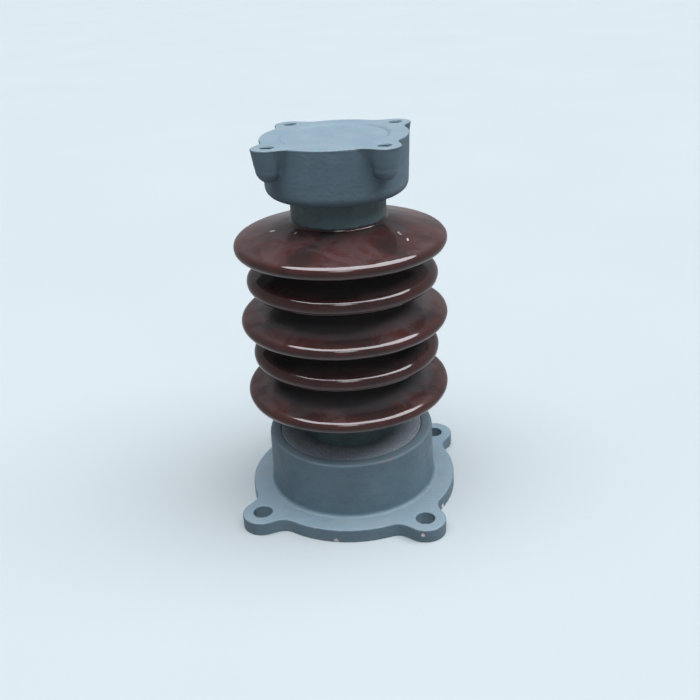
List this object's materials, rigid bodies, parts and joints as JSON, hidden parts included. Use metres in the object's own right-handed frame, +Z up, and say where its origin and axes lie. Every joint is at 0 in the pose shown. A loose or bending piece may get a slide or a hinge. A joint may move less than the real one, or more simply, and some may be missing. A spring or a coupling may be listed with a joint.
{
  "type": "station post insulator",
  "caption": "Rigid porcelain post insulator with alternating sheds between a cast iron cap with tapped lugs and a flanged cast iron base with bolt ears.",
  "frame": {"origin": "centre of the base flange's underside", "axes": "+Z up along the porcelain's axis; the bolt ears and the cap's lugs stand at 45 degrees to X and Y"},
  "size_m": [0.209, 0.209, 0.363],
  "materials": {
    "glazed_porcelain": "glossy dark red-brown glaze",
    "painted_iron": "satin blue-grey paint over sand-cast iron",
    "cement": "rough cast cement",
    "porcelain_grit": "rough crushed porcelain",
    "cork": "pressed cork",
    "bitumen": "dull black bitumen",
    "joint_varnish": "matt purple-grey varnish over cement",
    "coat_paint": "satin dark grey-green paint over porcelain"
  },
  "bodies": {
    "root": {"porcelain_body": "glazed_porcelain", "top_cap": "painted_iron", "base_flange": "painted_iron", "top_cement": "cement", "base_cement": "cement", "top_sand_band": "porcelain_grit", "base_sand_band": "porcelain_grit", "top_end_pad": "cork", "base_end_pad": "cork", "top_bitumen_coat": "bitumen", "base_bitumen_coat": "bitumen", "cap_socket_lining": "bitumen", "cup_socket_lining": "bitumen", "top_joint_seal": "joint_varnish", "base_joint_seal": "joint_varnish", "neck_paint": "coat_paint", "foot_paint": "coat_paint"}
  },
  "joints": []
}
